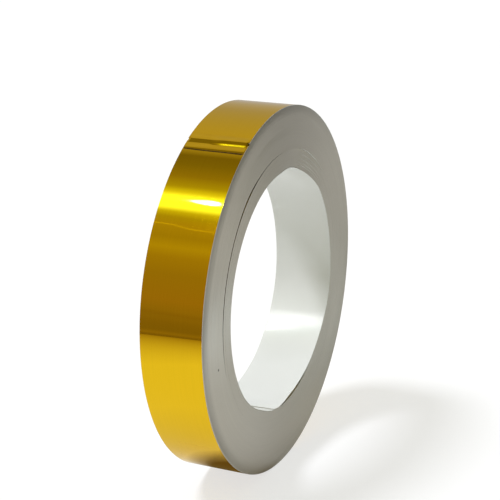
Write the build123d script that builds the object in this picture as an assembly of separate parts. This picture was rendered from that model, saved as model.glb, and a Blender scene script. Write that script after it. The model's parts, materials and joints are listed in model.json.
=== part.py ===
"""Coreless coil of pre-finished aluminium sign strip, standing on its rim.

The strip is one long band: mirror gold on its outer side, white back coat on its inner side, with the
slit edges of all its turns making the two flat side faces. Millimetres and degrees. The coil's axis is
Y, its front side face looks along -Y, and +Z is up. The origin is the centre of the hole, halfway
across the strip. Seen from the front, angles run anticlockwise from +X, as the winding does.

The winding is a two-centre spiral: half turns about one centre, then the other, half a pitch away. Each
half turn is a true arc, the arcs meet in line, and the turns keep the same spacing all the way round.
"""

import os
from math import cos, degrees, radians, sin

from build123d import *

# The strip
STRIP_WIDTH = 60.0
STRIP_THICKNESS = 0.5
AIR = 0.035  # between two turns that are wound tight
PITCH = STRIP_THICKNESS + AIR
SLIP_GAP = 0.12  # between wraps that slip over each other, and under a free end

# The winding: places along the strip are degrees wound since its inner end
OUTER_RADIUS = 178.5
INNER_END_ANGLE = -100.0
TAIL_END_ANGLE = 117.0
FULL_TURNS = 106
TAIL_END = 360 * FULL_TURNS + TAIL_END_ANGLE - INNER_END_ANGLE
START_RADIUS = OUTER_RADIUS + AIR - PITCH * (TAIL_END / 360 + 1)

# The free ends, cut into short spans so that the springy strip can bend
INNER_SPANS = 3
INNER_SPAN_ARC = 15.0
TAIL_SPANS = 6
TAIL_SPAN_ARC = 10.0
INNER_TURN_START = INNER_SPANS * INNER_SPAN_ARC
TAIL_START = TAIL_END - TAIL_SPANS * TAIL_SPAN_ARC
OUTER_TURN_START = TAIL_END - 360

# Packs of wraps: name, first turn, last turn and how far the pack stands back from the front face
WRAP_PACKS = [
    ("bore_wraps", 1, 7, 1.7),
    ("second_wraps", 7, 11, 1.4),
    ("third_wraps", 11, 17, 1.1),
    ("fourth_wraps", 17, 24, 0.8),
    ("fifth_wraps", 24, 32, 0.4),
]
BORE_SETBACK = WRAP_PACKS[0][3]
MAIN_FIRST_TURN = WRAP_PACKS[-1][2]
OUTER_FIRST_TURN = 91

# The side face's rounded shoulder: the last wraps stand back a little, and the outermost turn more
OUTER_WRAPS_SETBACK = 0.3
OUTER_TURN_SETBACK = 0.6

# The holding tape across the tail's cut end, measured along the strip
TAPE_THICKNESS = 0.1
TAPE_ON_TAIL = 8.0
TAPE_RAMP = 4.0
TAPE_ON_COIL = 11.0
TAPE_EDGE_MARGIN = 1.5
TAPE_LIFT = 0.02

SPLIT = (cos(radians(INNER_END_ANGLE)), sin(radians(INNER_END_ANGLE)))


def half_turn_centre(half):
    """The centre of a half turn: the spiral's two centres lie either side of the axis."""
    along = PITCH / 4 * (-1 if half % 2 == 0 else 1)
    return (along * SPLIT[0], along * SPLIT[1])


def spiral(start, end, lift=0.0):
    """The strip's inner side from one place to another, as tangent arcs, moved outward by lift."""
    edges = []
    while start < end - 1e-9:
        half = int((start + 1e-9) // 180)
        stop = min(end, 180 * (half + 1))
        radius = START_RADIUS + PITCH / 4 + PITCH / 2 * half + lift
        arc = CenterArc(half_turn_centre(half), radius, INNER_END_ANGLE + start, stop - start)
        edges.append(arc)
        start = stop
    return edges


def span_profile(start, end, thickness=STRIP_THICKNESS):
    """One layer of strip from one place to another."""
    inner = spiral(start, end)
    outer = spiral(start, end, thickness)
    first_end = Line(inner[0] @ 0, outer[0] @ 0)
    last_end = Line(inner[-1] @ 1, outer[-1] @ 1)
    return make_face([*inner, last_end, *outer, first_end])


def pack_profile(start, end, outer_gap):
    """Many turns wound tight: a ring with a step inside and outside, where its strip begins and ends."""
    inner = spiral(start, start + 360)
    outer = spiral(end - 360, end, PITCH - outer_gap)
    inner_step = Line(inner[-1] @ 1, inner[0] @ 0)
    outer_step = Line(outer[-1] @ 1, outer[0] @ 0)
    return make_face([*outer, outer_step]) - make_face([*inner, inner_step])


def across_the_strip(profile, setback=0.0, margin=0.0):
    """Gives a profile the strip's width, less a margin at each edge, standing back from the front face."""
    back = STRIP_WIDTH / 2 + setback - margin
    return extrude(Plane.XZ.offset(-back) * profile, amount=STRIP_WIDTH - 2 * margin)


def make_inner_end():
    """The strip's free inner end at the bottom of the hole, from its tip to the innermost turn."""
    spans = {}
    for index in range(INNER_SPANS):
        start = index * INNER_SPAN_ARC
        profile = span_profile(start, start + INNER_SPAN_ARC, PITCH - SLIP_GAP)
        spans[f"inner_end_span_{INNER_SPANS - index}"] = across_the_strip(profile, BORE_SETBACK)
    return spans


def make_inner_turn():
    """The innermost turn, whose white inner side is the wall of the hole."""
    return across_the_strip(span_profile(INNER_TURN_START, 360, PITCH - SLIP_GAP), BORE_SETBACK)


def make_slipping_wraps():
    """The packs of inner wraps, which stand further back the nearer they are to the hole."""
    packs = {}
    for name, first, last, setback in WRAP_PACKS:
        packs[name] = across_the_strip(pack_profile(360 * first, 360 * last, SLIP_GAP), setback)
    return packs


def make_main_wraps():
    """The tight body of the coil, whose front edges are the flat side face."""
    return across_the_strip(pack_profile(360 * MAIN_FIRST_TURN, 360 * OUTER_FIRST_TURN, AIR))


def make_outer_wraps():
    """The last turns under the visible outer one, a little back from the side face."""
    return across_the_strip(pack_profile(360 * OUTER_FIRST_TURN, OUTER_TURN_START, AIR), OUTER_WRAPS_SETBACK)


def make_outer_turn():
    """The outermost turn, from under the tail's end round to the start of the free tail."""
    return across_the_strip(span_profile(OUTER_TURN_START, TAIL_START), OUTER_TURN_SETBACK)


def make_tail():
    """The free tail over the top of the coil, span by span out to its cut end."""
    spans = {}
    for index in range(TAIL_SPANS):
        start = TAIL_START + index * TAIL_SPAN_ARC
        profile = span_profile(start, start + TAIL_SPAN_ARC)
        spans[f"tail_span_{index + 1}"] = across_the_strip(profile, OUTER_TURN_SETBACK)
    return spans


def make_holding_tape():
    """A length of tape over the tail's end, sloping down the step and onto the turn below."""
    degrees_per_mm = degrees(1 / OUTER_RADIUS)
    underside = STRIP_THICKNESS + TAPE_LIFT
    topside = underside + TAPE_THICKNESS
    tape_start = TAIL_END - TAPE_ON_TAIL * degrees_per_mm
    ramp_end = OUTER_TURN_START + TAPE_RAMP * degrees_per_mm
    tape_end = ramp_end + TAPE_ON_COIL * degrees_per_mm
    on_tail = spiral(tape_start, TAIL_END, underside)
    over_tail = spiral(tape_start, TAIL_END, topside)
    on_coil = spiral(ramp_end, tape_end, underside)
    over_coil = spiral(ramp_end, tape_end, topside)
    outline = [
        *on_tail,
        Line(on_tail[-1] @ 1, on_coil[0] @ 0),
        *on_coil,
        Line(on_coil[-1] @ 1, over_coil[-1] @ 1),
        *over_coil,
        Line(over_tail[-1] @ 1, over_coil[0] @ 0),
        *over_tail,
        Line(on_tail[0] @ 0, over_tail[0] @ 0),
    ]
    return across_the_strip(make_face(outline), OUTER_TURN_SETBACK, TAPE_EDGE_MARGIN)


nodes = {
    **make_inner_end(),
    "inner_turn": make_inner_turn(),
    **make_slipping_wraps(),
    "main_wraps": make_main_wraps(),
    "outer_wraps": make_outer_wraps(),
    "outer_turn": make_outer_turn(),
    **make_tail(),
    "holding_tape": make_holding_tape(),
}

os.makedirs("parts", exist_ok=True)
for name, solid in nodes.items():
    export_step(solid, f"parts/{name}.step")
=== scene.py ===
"""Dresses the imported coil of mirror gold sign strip, and builds the studio that its mirror shows."""

import json
import math

import bpy
import numpy as np
from mathutils import Matrix, Vector, noise


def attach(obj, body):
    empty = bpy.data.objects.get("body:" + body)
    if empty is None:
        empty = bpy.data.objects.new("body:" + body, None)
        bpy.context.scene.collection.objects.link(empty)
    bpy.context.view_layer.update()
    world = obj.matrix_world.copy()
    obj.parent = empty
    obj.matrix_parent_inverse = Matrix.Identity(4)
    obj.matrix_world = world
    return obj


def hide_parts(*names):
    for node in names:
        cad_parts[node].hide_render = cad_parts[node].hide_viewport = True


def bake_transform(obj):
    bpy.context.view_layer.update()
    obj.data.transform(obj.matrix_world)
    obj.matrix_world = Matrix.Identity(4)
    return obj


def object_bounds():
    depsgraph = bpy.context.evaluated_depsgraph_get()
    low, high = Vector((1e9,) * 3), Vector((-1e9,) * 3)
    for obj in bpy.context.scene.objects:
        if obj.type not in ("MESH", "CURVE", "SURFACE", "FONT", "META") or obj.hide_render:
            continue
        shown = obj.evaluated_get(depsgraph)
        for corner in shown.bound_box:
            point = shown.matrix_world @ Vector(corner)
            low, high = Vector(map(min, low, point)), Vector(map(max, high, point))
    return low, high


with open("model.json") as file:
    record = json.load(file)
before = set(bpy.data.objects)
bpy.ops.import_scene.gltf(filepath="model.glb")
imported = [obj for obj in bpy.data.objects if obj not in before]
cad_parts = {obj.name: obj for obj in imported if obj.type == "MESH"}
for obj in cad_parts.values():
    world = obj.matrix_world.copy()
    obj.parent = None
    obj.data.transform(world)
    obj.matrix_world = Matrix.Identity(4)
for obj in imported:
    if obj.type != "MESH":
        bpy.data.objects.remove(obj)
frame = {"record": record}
cad_low, cad_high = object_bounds()


# ---------------------------------------------------------------- measures

# Lengths are in metres. Places along the strip are degrees wound since its inner end. Angles are in
# degrees too, seen from the front, anticlockwise from +X.
MM = 0.001

# The strip
WIDTH = 60 * MM
THICKNESS = 0.5 * MM
LOOSE_THICKNESS = 0.415 * MM  # of the innermost turn, which has room to slip
PITCH = 0.535 * MM  # from one turn to the next: the strip and a little air

# The winding
INNER_END_ANGLE = -100.0
TAIL_END = 38377.0
BORE_MOUNT = next(m for m in frame["record"]["mounts"] if m["name"] == "bore")
START_RADIUS = BORE_MOUNT["dims"]["r_mm"] * MM - PITCH / 2
OUTER_RADIUS = START_RADIUS + PITCH * TAIL_END / 360 + THICKNESS
FRONT = cad_low.y

# The CAD spans between which the strip bends
INNER_SPAN = 15.0
INNER_SPANS = 3
TAIL_SPAN = 10.0
TAIL_SPANS = 6
TAIL_START = TAIL_END - TAIL_SPANS * TAIL_SPAN
OUTER_TURN_START = TAIL_END - 360

# The packs of wraps from the outside in: how many turns are wound before each one, and by its end
OUTER_PACKS = {"outer_wraps": (91, OUTER_TURN_START / 360), "main_wraps": (32, 91)}
INNER_PACKS = {
    "fifth_wraps": (24, 32),
    "fourth_wraps": (17, 24),
    "third_wraps": (11, 17),
    "second_wraps": (7, 11),
    "bore_wraps": (1, 7),
}
BODIES = frame["record"]["behaviour"]["bodies"]
BODY_OF = {node: body for body, nodes in BODIES.items() for node in nodes}

# The sag of the loose inner turns, in millimetres outward. A hump is given by its height, its angle
# and its spread.
LOOSE_RADIUS = 160 * MM  # the turns inside it are no longer quite round
SAG_GROWTH = 1.5  # the power with which the sag grows towards the hole
SAG_LOST = 0.5  # share of the sag that is gone at the back face
SHRUNK = 1.3
SHIFTED, SHIFT_ANGLE = 1.6, 4
OVAL, OVAL_ANGLE = 1.6, -10
LOWER_RIGHT_BULGE = (4.9, -18, 20)
LOWER_LEFT_DENT = (-1.5, -116, 12)
TOP_DENT = (-1.2, 86, 15)
GROOVE_RIDGE = (1.1, 142, 32)

# The groove between the main body and the inner packs. Its mouth's humps are in millimetres too.
GROOVE_RADIUS = START_RADIUS + PITCH * OUTER_PACKS["main_wraps"][0]
GROOVE_REACH = 7 * MM  # how far from the groove the turns beside it follow its shape
GROOVE_WIDTH = 1.25 * MM
GROOVE_ANGLE, GROOVE_HALF = 155, 66
GROOVE_FILLED = 0.6  # share of its width that the packs have made up by the hole
MOUTH_OPENED = (1.1, 127, 10)
MOUTH_CLOSED = (-0.6, 200, 14)

# The side face: the inner packs dish back, and the last turns stand back into a rounded shoulder
FLUSH_ANGLE = -20.0  # where both stand back least
DISH_DEPTH = 1.0 * MM
SHOULDER_RADIUS = 169 * MM
SHOULDER_DEPTH = 1.1 * MM
SHOULDER_LEAST = 0.2  # share of that depth which is left at the flush angle

# The steps between the inner packs at the top of the hole, in millimetres back from the front
STEPS_ANGLE, STEPS_HALF = 69, 28
FIRST_STEP = 1.1
NEXT_STEP = 0.95

# The free inner end stands off the turn below it, between these places
LIFT = 2.7 * MM
LIFT_RISE = (4, 20)
LIFT_FALL = (50, 24)

# Sideways wander of the strip's edges: millimetres, degrees from swing to swing, and a row of noise
WANDER = ((0.08, 1500.0, 3.1), (0.04, 130.0, 7.7))

# Waviness of the rolled strip: share, degrees along it, metres across it, and a layer of the noise
WAVES = ((1.0, 14.0, 0.05, 1.7), (0.35, 4.0, 0.03, 5.2))
WAVE_HEIGHT = 0.02 * MM

# How finely the turns are drawn
STATIONS = 180  # points round each turn of a pack
STRIP_STEP = 0.5  # degrees along a single strip
TAIL_STEP = 0.25
STRIP_ROWS = 20


# ---------------------------------------------------------------- shape of the winding


def ramp(value, start, end):
    """0 before start, 1 after end, and smooth between them. Where start is the larger, it falls."""
    t = np.clip((value - start) / (end - start), 0, 1)
    return t * t * (3 - 2 * t)


def apart(angle, centre):
    """Degrees from one angle to another, between -180 and 180."""
    return (angle - centre + 180) % 360 - 180


def hump(angle, height, centre, spread):
    """A smooth hump about one angle, which has faded a few spreads away from it."""
    return height * np.exp(-((apart(angle, centre) / spread) ** 2))


def arch(angle, centre, half):
    """A cosine's arch about one angle: 1 in its middle, and 0 from half its span to each side."""
    return np.cos(np.radians(np.clip(apart(angle, centre) * 90 / half, -90, 90)))


def radius_at(place):
    """Radius of the strip's inner side at a place along it."""
    return START_RADIUS + PITCH * place / 360


def is_inner(node):
    """Whether a CAD node lies inside the groove, among the turns that can slip."""
    return node in INNER_PACKS or node.startswith("inner_")


def beside_groove(radius):
    """1 at the groove, and less further from it."""
    return np.exp(-(((radius - GROOVE_RADIUS) / GROOVE_REACH) ** 2))


def inward_share(radius):
    """0 at the groove and outside it, and 1 at the hole."""
    return np.clip((GROOVE_RADIUS - radius) / (GROOVE_RADIUS - START_RADIUS), 0, 1)


def sag(radius, angle):
    """How far the turns have moved outward at an angle, which leaves the hole out of round."""
    shifted = SHIFTED * np.cos(np.radians(angle - SHIFT_ANGLE))
    oval = OVAL * np.cos(2 * np.radians(angle - OVAL_ANGLE))
    low = hump(angle, *LOWER_RIGHT_BULGE) + hump(angle, *LOWER_LEFT_DENT)
    high = hump(angle, *TOP_DENT)
    depth = np.clip((LOOSE_RADIUS - radius) / (LOOSE_RADIUS - START_RADIUS), 0, 1)
    ridge = hump(angle, *GROOVE_RIDGE) * beside_groove(radius)
    return ((shifted + oval + low + high - SHRUNK) * depth**SAG_GROWTH + ridge) * MM


def drawn_in(radius, angle):
    """How far the inner packs have drawn away from the main body, which leaves the groove."""
    most = GROOVE_WIDTH * arch(angle, GROOVE_ANGLE, GROOVE_HALF)
    return most * (1 - GROOVE_FILLED * inward_share(radius))


def mouth(radius, angle):
    """How far the main body's inner side stands off the groove's line: the groove opens at its top."""
    opened = hump(angle, *MOUTH_OPENED) + hump(angle, *MOUTH_CLOSED)
    return opened * MM * beside_groove(radius)


def point_on(place, lift, across, inner=False):
    """Points in the row frame, from a place along the strip, a lift off its inner side and a Y across
    it. Towards the back the groove closes and the sag grows less."""
    angle = place + INNER_END_ANGLE
    wound = radius_at(place) + lift
    depth = (across - FRONT) / WIDTH
    moved = -drawn_in(wound, angle) if inner else mouth(wound, angle)
    radius = wound + sag(wound, angle) * (1 - SAG_LOST * depth) + moved * (1 - depth)
    turn = np.radians(angle)
    return np.stack([radius * np.cos(turn), across + 0 * radius, radius * np.sin(turn)], -1)


def wander(place):
    """How far the strip's edges have wandered sideways at each place along it."""
    total = 0
    for size, period, row in WANDER:
        swings = [noise.noise(Vector((p / period, row, 0.0))) for p in place]
        total = total + size * np.array(swings)
    return total * MM


def waves(place, across):
    """The faint waviness of the rolled strip, which a mirror finish shows."""
    out = np.zeros(place.shape)
    for index in np.ndindex(place.shape):
        for share, along, wide, level in WAVES:
            point = Vector((place[index] / along, across[index] / wide, level))
            out[index] += share * noise.noise(point)
    return WAVE_HEIGHT * out


def setback(node, place):
    """How far the strip stands back from the front face: the inner packs for their dish, and the last
    turns for their shoulder. Both are deepest at the left."""
    aslant = (1 - np.cos(np.radians(place + INNER_END_ANGLE - FLUSH_ANGLE))) / 2
    if is_inner(node):
        return DISH_DEPTH * inward_share(radius_at(place)) * aslant
    outward = np.clip((radius_at(place) - SHOULDER_RADIUS) / (OUTER_RADIUS - SHOULDER_RADIUS), 0, 1)
    return (SHOULDER_LEAST + aslant) * SHOULDER_DEPTH * outward**2


def pushed_in(node, place):
    """How much further the inner packs' front edges stand back where the steps between them show."""
    if not is_inner(node):
        return 0 * place
    steps = list(INNER_PACKS).index(node) + 1 if node in INNER_PACKS else len(INNER_PACKS)
    most = (FIRST_STEP + NEXT_STEP * steps) * MM
    return most * arch(place + INNER_END_ANGLE, STEPS_ANGLE, STEPS_HALF) ** 2


def lifted_end(place):
    """How far the strip's free inner end stands off its winding: inward, so below zero. That leaves a
    dark crescent under it."""
    return -LIFT * ramp(place, *LIFT_RISE) * ramp(place, *LIFT_FALL)


# ---------------------------------------------------------------- shader nodes


def add_node(tree, kind, inputs=None, **settings):
    """A shader node with its settings made, and each input given a value or linked to an output."""
    made = tree.nodes.new("ShaderNode" + kind)
    for name, value in settings.items():
        setattr(made, name, value)
    for socket, value in (inputs or {}).items():
        if isinstance(value, bpy.types.NodeSocket):
            tree.links.new(value, made.inputs[socket])
        else:
            made.inputs[socket].default_value = value
    return made


def combined(tree, operation, first, second):
    """Two numbers put together by one operation of the Math node."""
    return add_node(tree, "Math", {0: first, 1: second}, operation=operation).outputs[0]


def mixed_numbers(tree, share, first, second):
    """The first number where the share is 0, and the second where it is 1."""
    return add_node(tree, "Mix", {0: share, 2: first, 3: second}).outputs[0]


def mixed_colours(tree, share, first, second):
    """The first colour where the share is 0, and the second where it is 1."""
    return add_node(tree, "Mix", {0: share, 6: first, 7: second}, data_type="RGBA").outputs[2]


def map_range(tree, value, low, high, to_low, to_high):
    """A number carried from one range to another, and held at the ends of the other."""
    sockets = {0: value, 1: low, 2: high, 3: to_low, 4: to_high}
    return add_node(tree, "MapRange", sockets).outputs[0]


def colour_ramp(tree, factor, stops):
    """A colour ramp with a (place, colour) for each stop."""
    made = add_node(tree, "ValToRGB", {0: factor})
    elements = made.color_ramp.elements
    while len(elements) < len(stops):
        elements.new(0.5)
    for element, (place, colour) in zip(elements, stops):
        element.position = place
        element.color = (*colour, 1)
    return made.outputs["Color"]


def two_tones(tree, factor, limits, tones):
    """The first tone up to the first limit, the second from the second, and a mixture between them."""
    return colour_ramp(tree, factor, list(zip(limits, tones)))


def object_place(tree):
    """A point's place in its own object. The coil's pieces all lie in the row frame."""
    return add_node(tree, "TexCoord").outputs["Object"]


def distance_from(tree, place, point):
    """How far a place is from a fixed point."""
    return add_node(tree, "VectorMath", {0: place, 1: point}, operation="DISTANCE").outputs["Value"]


def angle_and_y(tree, place):
    """A point's angle about the coil's axis, in radians, and its Y."""
    parts = add_node(tree, "SeparateXYZ", {0: place}).outputs
    return combined(tree, "ARCTAN2", parts["Z"], parts["X"]), parts["Y"]


def radius_from_axis(tree, place):
    """A point's distance from the coil's axis."""
    flat = add_node(tree, "VectorMath", {0: place, 1: (1, 0, 1)}, operation="MULTIPLY").outputs[0]
    return add_node(tree, "VectorMath", {0: flat}, operation="LENGTH").outputs["Value"]


def plain_noise(tree, vector, scale, detail):
    """Noise between 0 and 1."""
    return add_node(tree, "TexNoise", {"Vector": vector, "Scale": scale, "Detail": detail}).outputs[0]


def stretched_noise(tree, x, y, scales, detail):
    """Noise over two coordinates, each with its own scale."""
    first = combined(tree, "MULTIPLY", x, scales[0])
    second = combined(tree, "MULTIPLY", y, scales[1])
    vector = add_node(tree, "CombineXYZ", {0: first, 1: second}).outputs[0]
    return plain_noise(tree, vector, 1.0, detail)


def bumped(tree, height, strength, distance):
    """The normals of a surface with fine relief."""
    inputs = {"Height": height, "Strength": strength, "Distance": distance}
    return add_node(tree, "Bump", inputs).outputs[0]


def new_material(name, inputs):
    """A material, its node tree and its Principled shader, with the shader's plain inputs set."""
    material = bpy.data.materials.new(name)
    material.use_nodes = True
    shader = material.node_tree.nodes["Principled BSDF"]
    for socket, value in inputs.items():
        shader.inputs[socket].default_value = value
    return material, material.node_tree, shader


def glowing(name):
    """A new material that only glows, and its emission node."""
    material = bpy.data.materials.new(name)
    material.use_nodes = True
    tree = material.node_tree
    tree.nodes.remove(tree.nodes["Principled BSDF"])
    glow = add_node(tree, "Emission")
    tree.links.new(glow.outputs[0], tree.nodes["Material Output"].inputs["Surface"])
    return material, glow


def cover_with(tree, share, under, over):
    """Makes a material's surface one shader where the share is 0, and another where it is 1."""
    mixed = add_node(tree, "MixShader", {0: share, 1: under, 2: over}).outputs[0]
    tree.links.new(mixed, tree.nodes["Material Output"].inputs["Surface"])


# ---------------------------------------------------------------- the coil's materials

# The darker and the lighter colour of each material
GOLD_TONES = ((0.765, 0.48, 0.004), (0.79, 0.495, 0.006))
WHITE_TONES = ((0.77, 0.78, 0.755), (0.80, 0.81, 0.785))
SLIT_TONES = ((0.48, 0.45, 0.385), (0.54, 0.51, 0.44))
# The burr's lighter tones are a painted highlight along the outermost edges
BURR_HIGHLIGHT_TONES = ((0.50, 0.50, 0.48), (0.60, 0.60, 0.58))
FILM_TONES = ((0.74, 0.46, 0.006), (0.80, 0.51, 0.01))
# The tape edge's near-black tones are a painted shadow along its lower edge
EDGE_SHADE_TONES = ((0.03, 0.014, 0.002), (0.10, 0.05, 0.008))

# The levels of its noise between which a material goes from one tone to the other
STRONG = (0.3, 0.7)
SOFT = (0.35, 0.65)

# What the strip's face and the tape's film share
GOLD_METAL = {"Metallic": 1.0, "Specular Tint": (1, 0.92, 0.72, 1)}

# Painted shade: the colour darkens in crevices whose walls are closer than this, where shade falls
CREVICE_SHADE_REACH = 3 * MM
CREVICE_SHADE_SAMPLES = 6
CREVICE_SHADE_COLOUR = (0.02, 0.015, 0.006, 1)

# A small stain on the side face, which begins to fade at one distance and ends at another
STAIN_RADIUS = 150 * MM
STAIN_ANGLE = math.radians(-169)
STAIN = (STAIN_RADIUS * math.cos(STAIN_ANGLE), FRONT, STAIN_RADIUS * math.sin(STAIN_ANGLE))
STAIN_FADE = (0.9 * MM, 1.3 * MM)
STAIN_COLOUR = (0.03, 0.025, 0.02, 1)

# Painted shade: the last turns are darkened towards the left, for the shading of the rounded shoulder
LEFT_RIM = (-OUTER_RADIUS, FRONT, 0)
RIM_SHADE_REACH = (120 * MM, 200 * MM)
RIM_SHADE_START = (166 * MM, 175.5 * MM)
RIM_SHADE_END = (176.6 * MM, 177.6 * MM)
RIM_SHADE_COLOUR = (0.12, 0.11, 0.09, 1)
RIM_SHADE_SHARE = 0.42


def with_painted_crevice_shade(tree, colour, closed, clear):
    """A colour with painted shade, which turns dark in crevices as their open share falls from clear to
    closed.
    """
    occlusion = add_node(tree, "AmbientOcclusion", {"Distance": CREVICE_SHADE_REACH}, samples=CREVICE_SHADE_SAMPLES)
    crevice_shade = map_range(tree, occlusion.outputs["AO"], closed, clear, 1.0, 0.0)
    return mixed_colours(tree, crevice_shade, colour, CREVICE_SHADE_COLOUR)


def with_painted_rim_shade(tree, colour, place, radius):
    """The slit edges' colour with painted shade darkening the left of the rim."""
    from_left = distance_from(tree, place, LEFT_RIM)
    left = map_range(tree, from_left, *RIM_SHADE_REACH, RIM_SHADE_SHARE, 0.0)
    rising = map_range(tree, radius, *RIM_SHADE_START, 0.0, 1.0)
    falling = map_range(tree, radius, *RIM_SHADE_END, 1.0, 0.0)
    dull = combined(tree, "MULTIPLY", left, rising)
    dull = combined(tree, "MULTIPLY", dull, falling)
    return mixed_colours(tree, dull, colour, RIM_SHADE_COLOUR)


def with_stain(tree, colour, place):
    """The slit edges' colour with the small stain."""
    spot = map_range(tree, distance_from(tree, place, STAIN), *STAIN_FADE, 1.0, 0.0)
    return mixed_colours(tree, spot, colour, STAIN_COLOUR)


def gold_material():
    """The strip's outer side: a lacquered mirror with rolling grain."""
    lacquered = {**GOLD_METAL, "Coat Weight": 0.14, "Coat Roughness": 0.03}
    material, tree, shader = new_material("mirror_gold", lacquered)
    angle, y = angle_and_y(tree, object_place(tree))
    grain = stretched_noise(tree, angle, y, (2.5, 900.0), 3.0)
    tone = two_tones(tree, grain, STRONG, GOLD_TONES)
    # the base colour carries painted shade in crevices and at contacts
    tree.links.new(with_painted_crevice_shade(tree, tone, 0.5, 0.9), shader.inputs["Base Color"])
    tree.links.new(map_range(tree, grain, *STRONG, 0.035, 0.055), shader.inputs["Roughness"])
    return material


def white_material():
    """The strip's inner side: a gloss white coat with a faint orange peel."""
    material, tree, shader = new_material("white_back_coat", {"IOR": 1.5})
    place = object_place(tree)
    peel = plain_noise(tree, place, 900.0, 1.0)
    cloud = plain_noise(tree, place, 14.0, 2.0)
    tone = two_tones(tree, cloud, SOFT, WHITE_TONES)
    # the base colour carries painted shade in crevices, as in the gap under the lifted inner end
    tree.links.new(with_painted_crevice_shade(tree, tone, 0.2, 0.42), shader.inputs["Base Color"])
    tree.links.new(map_range(tree, cloud, *SOFT, 0.16, 0.2), shader.inputs["Roughness"])
    tree.links.new(bumped(tree, peel, 0.05, 0.2 * MM), shader.inputs["Normal"])
    return material


def slit_material(name, tones, metallic):
    """Slit edges side by side: streaks that follow the turns, and a fine line for each turn."""
    brushed = {"Metallic": metallic, "Anisotropic": 0.7, "Anisotropic Rotation": 0.33}
    material, tree, shader = new_material(name, brushed)
    place = object_place(tree)
    radius = radius_from_axis(tree, place)
    angle = angle_and_y(tree, place)[0]
    broad = stretched_noise(tree, radius, angle, (350.0, 0.8), 3.0)
    fine = stretched_noise(tree, radius, angle, (1800.0, 2.5), 2.0)
    streak = mixed_numbers(tree, 0.4, broad, fine)
    tone = two_tones(tree, streak, SOFT, tones)
    # the small stain, and painted shade darkening the left of the rim
    stained_and_rim_shaded = with_stain(tree, with_painted_rim_shade(tree, tone, place, radius), place)
    tangent = add_node(tree, "Tangent", direction_type="RADIAL", axis="Y").outputs[0]
    tree.links.new(stained_and_rim_shaded, shader.inputs["Base Color"])
    tree.links.new(map_range(tree, streak, *SOFT, 0.38, 0.5), shader.inputs["Roughness"])
    tree.links.new(bumped(tree, fine, 0.25, 0.1 * MM), shader.inputs["Normal"])
    tree.links.new(tangent, shader.inputs["Tangent"])
    return material


def film_material():
    """The holding tape: a gold film, a little smeared."""
    film = {**GOLD_METAL, "Coat Weight": 0.16, "Coat Roughness": 0.05}
    material, tree, shader = new_material("holding_tape", film)
    angle, y = angle_and_y(tree, object_place(tree))
    smear = stretched_noise(tree, angle, y, (60.0, 60.0), 3.0)
    tree.links.new(two_tones(tree, smear, STRONG, FILM_TONES), shader.inputs["Base Color"])
    tree.links.new(map_range(tree, smear, *STRONG, 0.06, 0.1), shader.inputs["Roughness"])
    return material


def tape_edge_shade_material():
    """Painted shadow: a dark line along the tape's lower edge, where its edge casts shade."""
    dull = {"Roughness": 0.5, "Specular IOR Level": 0.1}
    material, tree, shader = new_material("tape_edge_painted_shade", dull)
    angle, y = angle_and_y(tree, object_place(tree))
    smear = stretched_noise(tree, angle, y, (60.0, 400.0), 3.0)
    tree.links.new(two_tones(tree, smear, STRONG, EDGE_SHADE_TONES), shader.inputs["Base Color"])
    return material


gold = gold_material()
white = white_material()
slit = slit_material("slit_edges", SLIT_TONES, 0.85)
# the outermost edges: the burr, with a lighter tone that is a painted highlight
burr_highlight = slit_material("burr_painted_highlight", BURR_HIGHLIGHT_TONES, 0.6)
tape = film_material()
# the painted shadow along the tape's lower edge
tape_edge_shade = tape_edge_shade_material()


# ---------------------------------------------------------------- meshes

# A piece's three materials: on its outer side, on its inner side, and on its edges and cut ends
OUTSIDE, INSIDE, EDGE = 0, 1, 2
LAYERS = [gold, white, slit]
OUTER_LAYERS = [gold, white, burr_highlight]

SHARP_ANGLE = math.radians(35)  # edges that bend further than this look sharp


def new_piece(name, vertices, faces, materials, indices):
    """A mesh object with smooth faces and sharp edges, in the row frame."""
    mesh = bpy.data.meshes.new(name)
    mesh.from_pydata(np.asarray(vertices, float).tolist(), [], faces)
    for material in materials:
        mesh.materials.append(material)
    mesh.polygons.foreach_set("material_index", indices)
    mesh.polygons.foreach_set("use_smooth", [True] * len(faces))
    mesh.set_sharp_from_angle(angle=SHARP_ANGLE)
    mesh.update()
    piece = bpy.data.objects.new(name, mesh)
    bpy.context.scene.collection.objects.link(piece)
    return piece


def layer(name, outer, inner, materials):
    """A thin layer between two grids of points, with its two long edges and its two cut ends."""
    columns, rows = outer.shape[0] - 1, outer.shape[1] - 1
    ring = np.concatenate([outer, inner[:, ::-1]], axis=1)
    size = ring.shape[1]
    kinds = [OUTSIDE] * rows + [EDGE] + [INSIDE] * rows + [EDGE]
    faces, indices = [], []
    for i in range(columns):
        for k in range(size):
            after = (k + 1) % size
            faces.append((i * size + k, i * size + after, (i + 1) * size + after, (i + 1) * size + k))
            indices.append(kinds[k])
    for i, turned in ((0, True), (columns, False)):
        for k in range(rows):
            quad = [i * size + m for m in (k, k + 1, size - 2 - k, size - 1 - k)]
            faces.append(tuple(quad[::-1] if turned else quad))
            indices.append(EDGE)
    return new_piece(name, ring.reshape(-1, 3), faces, materials, indices)


def strip(name, node, start, end, step=STRIP_STEP):
    """One layer of strip from one place to another, with the edges of a CAD node."""
    inner = is_inner(node)
    thickness, materials = (LOOSE_THICKNESS, LAYERS) if inner else (THICKNESS, OUTER_LAYERS)
    places = np.linspace(start, end, max(2, round((end - start) / step)) + 1)
    share = np.linspace(0, 1, STRIP_ROWS + 1)
    place = places[:, None] + 0 * share[None, :]
    front = FRONT + setback(node, places) + pushed_in(node, places)
    back = FRONT + WIDTH + setback(node, places)
    across = front[:, None] + (back - front)[:, None] * share[None, :]
    lift = waves(place, across)
    if inner:
        lift = lift + lifted_end(place)
    outside = point_on(place, lift + thickness, across, inner)
    inside = point_on(place, lift, across, inner)
    return layer(name, outside, inside, materials)


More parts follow.
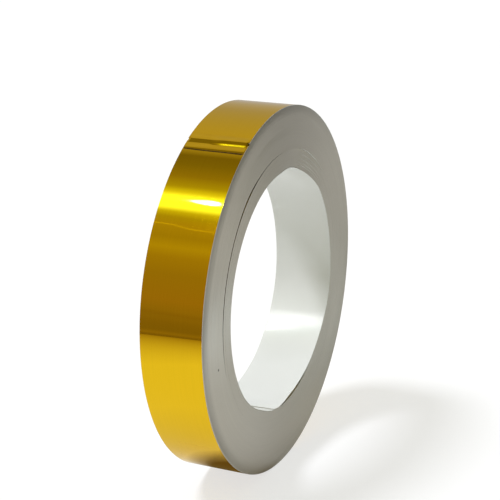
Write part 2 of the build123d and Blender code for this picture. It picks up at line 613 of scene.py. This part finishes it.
def pack_lines(node, places, count):
    """The four lines of points that bound a pack's spiral, and where each line's points are in the
    list. An inner line is each turn's inner side, and an outer line is the turn before's outer side."""
    inner_line = np.arange(0, count + 1)
    outer_line = np.arange(STATIONS, count + STATIONS + 1)
    vertices, index = [], {}
    for side in ("front", "back"):
        for line, chosen, own in (("inner", inner_line, places), ("outer", outer_line, places - 360)):
            stood = setback(node, places[chosen]) + wander(own[chosen])
            across = FRONT + stood + (pushed_in(node, own[chosen]) if side == "front" else WIDTH)
            index[side, line] = np.full(len(places), -1)
            index[side, line][chosen] = np.arange(len(chosen)) + len(vertices)
            vertices.extend(point_on(places[chosen], 0.0, across, is_inner(node)))
    return vertices, index


def wrap_pack(name, node, first, last):
    """Many turns as one spiral of strip. Their edges wander, so that the side face is ridged."""
    start, end = 360.0 * first, 360.0 * last
    count = int(round((end - start) / 360 * STATIONS))
    places = start + 360 / STATIONS * np.arange(count + STATIONS + 1)
    vertices, index = pack_lines(node, places, count)
    faces, indices = [], []

    def add(a, b, c, d, kind, turned):
        """A quad of one kind, turned over or not."""
        faces.append((d, c, b, a) if turned else (a, b, c, d))
        indices.append(kind)

    for side, turned in (("front", True), ("back", False)):
        own, before = index[side, "inner"], index[side, "outer"]
        # the edge of each turn, and then the small step from each turn to the next
        for i in range(count):
            add(own[i], own[i + 1], before[i + 1 + STATIONS], before[i + STATIONS], EDGE, turned)
        for i in range(STATIONS, count):
            add(before[i], before[i + 1], own[i + 1], own[i], EDGE, turned)
    near, far = index["front", "inner"], index["back", "inner"]
    for i in range(STATIONS):
        add(near[i], near[i + 1], far[i + 1], far[i], INSIDE, False)
    near, far = index["front", "outer"], index["back", "outer"]
    for i in range(count, count + STATIONS):
        add(near[i], near[i + 1], far[i + 1], far[i], OUTSIDE, True)
    for i, turned in ((0, False), (count, True)):
        low = index["front", "inner"][i], index["back", "inner"][i]
        high = index["back", "outer"][i + STATIONS], index["front", "outer"][i + STATIONS]
        add(*low, *high, EDGE, turned)
    return new_piece(name, vertices, faces, LAYERS, indices)


# ---------------------------------------------------------------- the turns

LAST_TAIL_NODE = f"tail_span_{TAIL_SPANS}"
LAST_INNER_NODE = f"inner_end_span_{INNER_SPANS}"
TAIL_CUT = TAIL_END - 0.9  # the strip is drawn to here, and the tape covers its cut end


def declare(piece, node, replaces=True):
    """A piece rides on a CAD node's body, and stands for the node unless another piece does."""
    if replaces:
        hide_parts(node)
    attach(piece, BODY_OF[node])


def make_wraps():
    """The packs of wraps, and the outermost and the innermost turn."""
    for node, (first, last) in {**OUTER_PACKS, **INNER_PACKS}.items():
        declare(wrap_pack("turns_of_" + node, node, first, last), node)
    outer_turn = strip("outer_turn_strip", "outer_turn", OUTER_TURN_START, TAIL_START - TAIL_SPAN / 2)
    declare(outer_turn, "outer_turn")
    inner_turn = strip("inner_turn_strip", "inner_turn", (INNER_SPANS + 0.5) * INNER_SPAN, 360.0)
    declare(inner_turn, "inner_turn")


def make_tail():
    """The free tail: a piece of strip laid across each hinge, and the tip past the last one."""
    reach = TAIL_SPAN / 2
    for k in range(TAIL_SPANS):
        node = f"tail_span_{k + 1}"
        low = TAIL_START + k * TAIL_SPAN - reach
        high = TAIL_START + k * TAIL_SPAN + reach
        piece = strip(f"tail_strip_{k + 1}", node, low, high, TAIL_STEP)
        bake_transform(piece)
        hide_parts(node)
    tip = strip("tail_tip_strip", LAST_TAIL_NODE, TAIL_END - TAIL_SPAN / 2, TAIL_CUT, TAIL_STEP)
    declare(tip, LAST_TAIL_NODE, replaces=False)


def make_inner_end():
    """The free inner end: a piece of strip laid across each hinge, and the tip past the last one."""
    reach = INNER_SPAN / 2
    for k in range(INNER_SPANS):
        node = f"inner_end_span_{k + 1}"
        low = (INNER_SPANS - k) * INNER_SPAN - reach
        high = (INNER_SPANS - k) * INNER_SPAN + reach
        piece = strip(f"inner_end_strip_{k + 1}", node, low, high)
        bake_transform(piece)
        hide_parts(node)
    tip = strip("inner_end_tip_strip", LAST_INNER_NODE, 0.0, reach)
    declare(tip, LAST_INNER_NODE, replaces=False)


# ---------------------------------------------------------------- the holding tape

# Its outline
TAPE_THICKNESS = 0.1 * MM
TAPE_GAP = 0.02 * MM  # under it
TAPE_ON_TAIL = 8 * MM
TAPE_END = 14.8 * MM  # past the tail's cut end
TAPE_MARGIN = 0.7 * MM
TAPE_CORNER = 1.2 * MM
TAPE_BOW = 0.6 * MM  # how much lower its lower edge ends at the front, and higher at the back
# width of the strip of tape whose colour is a painted shadow along its lower edge
SHADED_EDGE_WIDTH = 1.2 * MM

# Its bulge over the cut end. The far half comes down evenly, and the near half drops at a steep brow
BULGE_NEAR, BULGE_FAR = 0.73 * MM, 0.16 * MM
NEAR_FROM, NEAR_BY = -10 * MM, 6 * MM  # past the middle, where the far half turns into the near half
EVEN_END = 5.0 * MM
BROW, FOOT = 3.7 * MM, 5.8 * MM
BROW_DROP = 0.48 * MM

# Its sides are stuck down close over the cut end
STUCK_END = 1.0 * MM
STUCK_SIDE = 1.3 * MM

# A low swell below the foot
SWELL = 0.2 * MM
SWELL_TOP = 11 * MM
SWELL_FALL = 11.2 * MM

TAPE_COLUMNS = 110
SHADED_EDGE_COLUMNS = 4
TAPE_POINTS = 49  # across


def tape_height(along, near, stuck):
    """Height of the tape's underside over the tail's line, at a distance past the tail's cut end."""
    risen = ramp(along, -TAPE_ON_TAIL, 0)
    even = BULGE_FAR * risen - (BULGE_FAR + PITCH) * np.clip(along / EVEN_END, 0, 1)
    brow = BULGE_NEAR * risen - BROW_DROP * np.clip(along / BROW, 0, 1)
    foot = (BROW_DROP - BULGE_NEAR - PITCH) * np.clip((along - BROW) / (FOOT - BROW), 0, 1)
    swell = SWELL * (ramp(along, FOOT, SWELL_TOP) - ramp(along, SWELL_FALL, TAPE_END))
    hugging = -PITCH * np.clip(along / STUCK_END, 0, 1)
    return (even * (1 - near) + (brow + foot) * near) * (1 - stuck) + hugging * stuck + swell


def tape_layer(name, begin, end, material, columns):
    """A part of the tape between two distances past the tail's cut end, with rounded corners."""
    share = np.linspace(-1, 1, TAPE_POINTS)
    half = WIDTH / 2 - TAPE_MARGIN
    corner = np.clip((np.abs(share) * half - (half - TAPE_CORNER)) / TAPE_CORNER, 0, 1)
    short = TAPE_CORNER * (1 - np.sqrt(np.maximum(0, 1 - corner**2)))
    first = np.maximum(begin, -TAPE_ON_TAIL + short)
    last = np.minimum(end, TAPE_END - short) - TAPE_BOW * share * np.abs(share)
    t = np.linspace(0, 1, columns + 1)[:, None]
    along = first[None, :] + (last - first)[None, :] * t
    centre = FRONT + WIDTH / 2 + setback(LAST_TAIL_NODE, np.array([TAIL_CUT]))[0]
    across = centre + half * share[None, :] + 0 * along
    near = ramp(-(half * share)[None, :], NEAR_FROM, NEAR_BY) + 0 * along
    stuck = ramp((half * np.abs(share))[None, :], half - STUCK_SIDE, half) + 0 * along
    place = TAIL_CUT + np.degrees(along / OUTER_RADIUS)
    lift = THICKNESS + TAPE_GAP + tape_height(along, near, stuck)
    outside = point_on(place, lift + TAPE_THICKNESS, across)
    inside = point_on(place, lift, across)
    return layer(name, outside, inside, [material] * 3)


def make_holding_tape():
    """The tape over the tail's cut end and onto the turn below, and the painted shadow at its lower
    edge.
    """
    line = TAPE_END - SHADED_EDGE_WIDTH
    film = tape_layer("holding_tape_film", -TAPE_ON_TAIL, line, tape, TAPE_COLUMNS)
    declare(film, "holding_tape")
    # the tape's lower edge, coloured with painted shadow
    edge = tape_layer("holding_tape_edge", line, TAPE_END, tape_edge_shade, SHADED_EDGE_COLUMNS)
    declare(edge, "holding_tape", replaces=False)


# ---------------------------------------------------------------- camera

CAMERA_AZIMUTH = -65.894
CAMERA_ELEVATION = 16.947
CAMERA_DISTANCE = 1.3594
CAMERA_LENS = 100.8
CAMERA_SENSOR = 36.0

# How far it is moved across its own view, to frame the coil
CAMERA_RIGHT = -0.00518
CAMERA_UP = 0.03536


def heading(azimuth, elevation):
    """The direction from the coil towards a viewer: azimuth 0 looks along +Y."""
    a, e = math.radians(azimuth), math.radians(elevation)
    return Vector((math.sin(a) * math.cos(e), -math.cos(a) * math.cos(e), math.sin(e)))


def make_camera():
    """The camera, at the photograph's viewing angle."""
    back = heading(CAMERA_AZIMUTH, CAMERA_ELEVATION)
    right = Vector((0, 0, 1)).cross(back).normalized()
    up = back.cross(right)
    data = bpy.data.cameras.new("camera")
    data.lens = CAMERA_LENS
    data.sensor_width = CAMERA_SENSOR
    camera = bpy.data.objects.new("camera", data)
    camera.location = back * CAMERA_DISTANCE + right * CAMERA_RIGHT + up * CAMERA_UP
    camera.rotation_mode = "QUATERNION"
    camera.rotation_quaternion = Matrix((right, up, back)).transposed().to_quaternion()
    bpy.context.scene.collection.objects.link(camera)
    bpy.context.scene.camera = camera


# ---------------------------------------------------------------- lights and floor

AMBIENT = (0.288, 0.283, 0.195, 1)
KEY_DIRECTION = Vector((-0.254, 0.385, 0.887)).normalized()
KEY_STRENGTH = 2.46
KEY_ANGLE = 14.0
KEY_COLOUR = (0.975, 1.0, 1.085)

FLOOR_HALF = 6.0
FLOOR_Z = cad_low.z
FLOOR_PALE = 0.9
WHITE_IN_VIEW = 0.6  # share of plain white in the floor that the camera sees
WHITE_IN_MIRRORS = 0.5  # and in the floor that mirrors show
WHITE_LEVEL = 1.15  # how bright that white is in view
MIRRORED_FADE = (0.6, 1.0)  # the X between which it fades in mirrors
MIRRORED_LEVELS = (1.08, 0.8)  # and how bright it is there before and after


def stage_mesh(name, vertices, faces, material):
    """A piece of the studio, which isn't part of the object."""
    mesh = bpy.data.meshes.new(name)
    mesh.from_pydata(vertices, [], faces)
    mesh.materials.append(material)
    thing = bpy.data.objects.new(name, mesh)
    bpy.context.scene.collection.objects.link(thing)
    return thing


def make_floor():
    """The pale floor. Some plain white is mixed in where it is seen, which keeps the shadow light."""
    pale = {"Roughness": 0.9, "Base Color": (FLOOR_PALE, FLOOR_PALE, FLOOR_PALE, 1)}
    material, tree, shader = new_material("pale_floor", pale)
    path = add_node(tree, "LightPath").outputs
    in_mirrors = combined(tree, "MULTIPLY", path["Is Glossy Ray"], WHITE_IN_MIRRORS)
    white_share = mixed_numbers(tree, path["Is Camera Ray"], in_mirrors, WHITE_IN_VIEW)
    sideways = add_node(tree, "SeparateXYZ", {0: object_place(tree)}).outputs["X"]
    lit = map_range(tree, sideways, *MIRRORED_FADE, *MIRRORED_LEVELS)
    strength = mixed_numbers(tree, path["Is Camera Ray"], lit, WHITE_LEVEL)
    plain = add_node(tree, "Emission", {"Color": (1, 1, 1, 1), "Strength": strength}).outputs[0]
    cover_with(tree, white_share, shader.outputs[0], plain)
    half = FLOOR_HALF
    corners = [(-half, -half), (half, -half), (half, half), (-half, half)]
    vertices = [(x, y, FLOOR_Z) for x, y in corners]
    stage_mesh("floor", vertices, [(0, 1, 2, 3)], material)


def make_world():
    """White to the camera and to reflections, a plain soft level to everything that it lights."""
    world = bpy.data.worlds.new("studio")
    bpy.context.scene.world = world
    world.use_nodes = True
    tree = world.node_tree
    path = add_node(tree, "LightPath").outputs
    seen = combined(tree, "MAXIMUM", path["Is Camera Ray"], path["Is Glossy Ray"])
    seen = combined(tree, "MAXIMUM", seen, path["Is Transmission Ray"])
    light = mixed_colours(tree, seen, AMBIENT, (1, 1, 1, 1))
    tree.links.new(light, tree.nodes["Background"].inputs["Color"])


def make_key_light():
    """A soft lamp high up behind the coil, to its left."""
    data = bpy.data.lights.new("key_light", "SUN")
    data.energy = KEY_STRENGTH
    data.color = KEY_COLOUR
    data.angle = math.radians(KEY_ANGLE)
    light = bpy.data.objects.new("key_light", data)
    light.rotation_mode = "QUATERNION"
    light.rotation_quaternion = KEY_DIRECTION.to_track_quat("Z", "Y")
    light.visible_glossy = False
    bpy.context.scene.collection.objects.link(light)


# ---------------------------------------------------------------- the room that the coil reflects

# The room is a tunnel along the coil's axis. What a mirror sees of it: an angle about the axis, and
# the colour there
ROOM_RADIUS = 3.0
ROOM_ENDS = (-12.0, 4.0)
ROOM_FACETS = 200
ROOM_DIM = 0.25  # how bright the room is a metre and more in front of the coil's middle
ROOM = [
    (-10, (0.62, 0.62, 0.62)),
    (4, (0.50, 0.52, 0.58)),
    (30, (0.47, 0.46, 0.50)),
    (62, (0.57, 0.53, 0.50)),
    (77, (0.50, 0.46, 0.42)),
    (83, (0.22, 0.19, 0.06)),
    (90, (0.25, 0.22, 0.06)),
    (99, (0.35, 0.30, 0.09)),
    (106, (0.52, 0.52, 0.08)),
    (110, (0.95, 1.10, 0.26)),
    (113, (1.60, 2.20, 1.70)),
    (120, (1.60, 2.20, 1.70)),
    (122.5, (0.76, 0.84, 0.15)),
    (126, (0.50, 0.48, 0.08)),
    (130, (0.50, 0.43, 0.12)),
    (138, (0.44, 0.37, 0.07)),
    (144, (0.54, 0.47, 0.09)),
    (150, (0.44, 0.35, 0.09)),
    (160, (0.38, 0.29, 0.12)),
    (175, (0.39, 0.27, 0.15)),
    (181, (0.34, 0.25, 0.13)),
    (186, (0.25, 0.17, 0.06)),
    (190, (0.25, 0.17, 0.06)),
]

# A bare lamp high up behind the coil
LAMP_DIRECTION = Vector((-0.40, 0.39, 0.83)).normalized()
LAMP_DISTANCE = 2.0
LAMP_NEARER = Vector((0, -0.008, 0))
LAMP_RADIUS = 0.042
LAMP_LENGTH = 0.032
LAMP_TAPER = 0.5  # how much broader it is at one side
LAMP_POINTS = 32
LAMP_GLOW = 160.0

# A bright window: the Y and the angle about the axis of its near edge and of its far edge
WINDOW_ENDS = ((0.80, 121.0), (1.12, 129.7))
WINDOW_HALF = 5.5
WINDOW_RADIUS = ROOM_RADIUS - 0.1
WINDOW_GLOW = 15.0

# A thin bright rail across the room, with a kink where the mirror shows one
RAIL_RADIUS = ROOM_RADIUS - 0.05
RAIL_ANGLE = 131.5
RAIL_HALF = math.radians(0.18)
RAIL_STEPS = 160
RAIL_STEP = 0.01
RAIL_SLOPE = 3.0  # degrees to a metre
RAIL_KINK = 1.2  # degrees to each side
RAIL_KINK_Y = 1.355
RAIL_KINK_REACH = 0.03
RAIL_COLOUR = (0.92, 0.84, 0.23, 1)

# The table under the coil ends at a slanting edge, which the mirror shows with the dim room beyond it
TABLE_POINT = Vector((-0.765, 0.30, 0))
TABLE_HEADING = math.radians(40)
TABLE_FADE = 0.36  # how far before its edge the table begins to grow dim
TABLE_BEYOND = 1.2  # how far past its edge the room's colours change
TABLE_CARD = 4  # how far the card reaches, to each side and past the edge
TABLE_HEIGHT = 1 * MM  # over the floor
TABLE_DIMMED = 0.95  # how much of the floor the card hides at the edge

# What a mirror sees there: how far past the edge, and the colour
TABLE_COLOURS = [
    (-TABLE_FADE, (0.45, 0.36, 0.18)),
    (-0.0108, (0.40, 0.30, 0.14)),
    (0, (0.17, 0.11, 0.03)),
    (0.078, (0.30, 0.21, 0.08)),
    (0.1872, (0.225, 0.155, 0.045)),
    (0.468, (0.235, 0.16, 0.05)),
    (TABLE_BEYOND, (0.27, 0.185, 0.07)),
]

# Soft cards on the table, seen only in reflections: painted shadows and a painted pool of light
CARD_FADE = (0.5, 1.0)  # shares of a card's reach between which it fades

# Those that the mirror and the side face show: name, centre, half sizes, colour, how much of the floor
# each one hides, and its height over it
CARDS = [
    ("foot_shade", (0, 0.03), (0.23, 0.12), (0.05, 0.04, 0.03), 0.17, 1 * MM),
    # a painted shadow near the coil's foot, which the mirror shows
    ("near_painted_shadow", (-0.063, -0.010), (0.066, 0.056), (0.13, 0.085, 0.015), 0.97, 2 * MM),
    ("front_glow", (0.24, -0.28), (0.12, 0.10), (2.6, 3.0, 3.3), 0.85, 5 * MM),
    ("right_shade", (0.72, -0.21), (0.40, 0.26), (0.22, 0.21, 0.18), 0.85, 3 * MM),
    ("side_shade", (0.34, -0.13), (0.22, 0.10), (0.2, 0.19, 0.16), 0.85, 4 * MM),
    ("front_shade", (0.13, -0.45), (0.20, 0.17), (0.1, 0.1, 0.1), 0.9, 2 * MM),
]


def seen_in_reflections_only(thing):
    """Hides a piece of the studio from everything but reflections."""
    thing.visible_camera = False
    thing.visible_diffuse = False
    thing.visible_transmission = False
    thing.visible_shadow = False


def make_room():
    """A dim room about the coil, whose colour changes round it and which is dimmer in front of it."""
    first, last = ROOM[0][0], ROOM[-1][0]
    material, glow = glowing("room_light")
    tree = material.node_tree
    angle, y = angle_and_y(tree, object_place(tree))
    # just under the left horizon the arctangent gives negative angles, so they are turned back
    limits = {0: angle, 1: math.radians(first), 2: math.radians(first + 360)}
    turned = add_node(tree, "Math", limits, operation="WRAP").outputs[0]
    share = map_range(tree, turned, math.radians(first), math.radians(last), 0.0, 1.0)
    stops = [((degrees - first) / (last - first), colour) for degrees, colour in ROOM]
    tree.links.new(colour_ramp(tree, share, stops), glow.inputs["Color"])
    tree.links.new(map_range(tree, y, -1.0, 0.0, ROOM_DIM, 1.0), glow.inputs["Strength"])
    turns = [math.radians(first + (last - first) * i / ROOM_FACETS) for i in range(ROOM_FACETS + 1)]
    rim = [(ROOM_RADIUS * math.cos(t), ROOM_RADIUS * math.sin(t)) for t in turns]
    vertices = [(x, end, z) for x, z in rim for end in ROOM_ENDS]
    faces = [(2 * i, 2 * i + 1, 2 * i + 3, 2 * i + 2) for i in range(ROOM_FACETS)]
    seen_in_reflections_only(stage_mesh("reflected_room", vertices, faces, material))


def make_lamp_core():
    """The lamp's bare centre, small, very bright and broader at one side."""
    material, glow = glowing("lamp_core")
    glow.inputs["Strength"].default_value = LAMP_GLOW
    centre = LAMP_DIRECTION * LAMP_DISTANCE + LAMP_NEARER
    side = LAMP_DIRECTION.cross(Vector((0, 1, 0))).normalized() * LAMP_RADIUS
    other = LAMP_DIRECTION.cross(side).normalized() * LAMP_LENGTH
    rim = []
    for i in range(LAMP_POINTS):
        t = 2 * math.pi * i / LAMP_POINTS
        half = math.cos(t) * (1 + LAMP_TAPER * math.sin(t))
        rim.append(tuple(centre + half * side + math.sin(t) * other))
    seen_in_reflections_only(stage_mesh("lamp_core", rim, [tuple(range(LAMP_POINTS))], material))


def make_window():
    """The window, which the white inner side shows as a broad stripe."""
    material, glow = glowing("window")
    glow.inputs["Strength"].default_value = WINDOW_GLOW
    vertices = []
    for y, turn in WINDOW_ENDS:
        for half in (-WINDOW_HALF, WINDOW_HALF):
            t = math.radians(turn + half)
            vertices.append((WINDOW_RADIUS * math.cos(t), y, WINDOW_RADIUS * math.sin(t)))
    seen_in_reflections_only(stage_mesh("window", vertices, [(0, 1, 3, 2)], material))


def make_rail():
    """The rail, which the mirror shows as a wavy line."""
    material, glow = glowing("rail")
    glow.inputs["Color"].default_value = RAIL_COLOUR
    vertices = []
    for i in range(RAIL_STEPS + 1):
        beyond = RAIL_STEP * (i - RAIL_STEPS // 2)
        kink = RAIL_KINK * math.tanh(beyond / RAIL_KINK_REACH)
        turn = math.radians(RAIL_ANGLE + RAIL_SLOPE * beyond - kink)
        for t in (turn - RAIL_HALF, turn + RAIL_HALF):
            x, z = RAIL_RADIUS * math.cos(t), RAIL_RADIUS * math.sin(t)
            vertices.append((x, RAIL_KINK_Y + beyond, z))
    faces = [(2 * i, 2 * i + 1, 2 * i + 3, 2 * i + 2) for i in range(RAIL_STEPS)]
    seen_in_reflections_only(stage_mesh("rail", vertices, faces, material))


def make_table_edge():
    """A card over the floor past the table's edge, which also dims the table towards that edge."""
    material, glow = glowing("beyond_the_table")
    tree = material.node_tree
    beyond = add_node(tree, "SeparateXYZ", {0: object_place(tree)}).outputs["Y"]
    share = map_range(tree, beyond, -TABLE_FADE, TABLE_BEYOND, 0.0, 1.0)
    reach = TABLE_FADE + TABLE_BEYOND
    stops = [((away + TABLE_FADE) / reach, colour) for away, colour in TABLE_COLOURS]
    tree.links.new(colour_ramp(tree, share, stops), glow.inputs["Color"])
    thin = add_node(tree, "BsdfTransparent").outputs[0]
    cover = map_range(tree, beyond, -TABLE_FADE, 0.0, 0.0, TABLE_DIMMED)
    cover_with(tree, cover, thin, glow.outputs[0])
    far = TABLE_CARD
    corners = [(-far, -TABLE_FADE, 0), (far, -TABLE_FADE, 0), (far, far, 0), (-far, far, 0)]
    card = stage_mesh("beyond_the_table", corners, [(0, 1, 2, 3)], material)
    card.location = TABLE_POINT + Vector((0, 0, FLOOR_Z + TABLE_HEIGHT))
    card.rotation_euler = (0, 0, TABLE_HEADING)
    seen_in_reflections_only(card)


def make_cards():
    """Soft round cards on the table, seen only in reflections: painted shadows, and a painted pool of
    light.
    """
    square = [(-1, -1, 0), (1, -1, 0), (1, 1, 0), (-1, 1, 0)]
    for name, (x, y), (wide, deep), colour, cover, height in CARDS:
        material, glow = glowing(name)
        tree = material.node_tree
        glow.inputs["Color"].default_value = (*colour, 1)
        place = object_place(tree)
        away = add_node(tree, "VectorMath", {0: place}, operation="LENGTH").outputs["Value"]
        thick = map_range(tree, away, *CARD_FADE, cover, 0.0)
        thin = add_node(tree, "BsdfTransparent").outputs[0]
        cover_with(tree, thick, thin, glow.outputs[0])
        card = stage_mesh(name, square, [(0, 1, 2, 3)], material)
        card.location = (x, y, FLOOR_Z + height)
        card.scale = (wide, deep, 1)
        seen_in_reflections_only(card)


# ---------------------------------------------------------------- everything

make_wraps()
make_tail()
make_holding_tape()
make_inner_end()
make_camera()
make_floor()
make_world()
make_key_light()
make_room()
make_lamp_core()
make_window()
make_table_edge()
make_rail()
make_cards()
bpy.context.scene.view_settings.view_transform = "Standard"
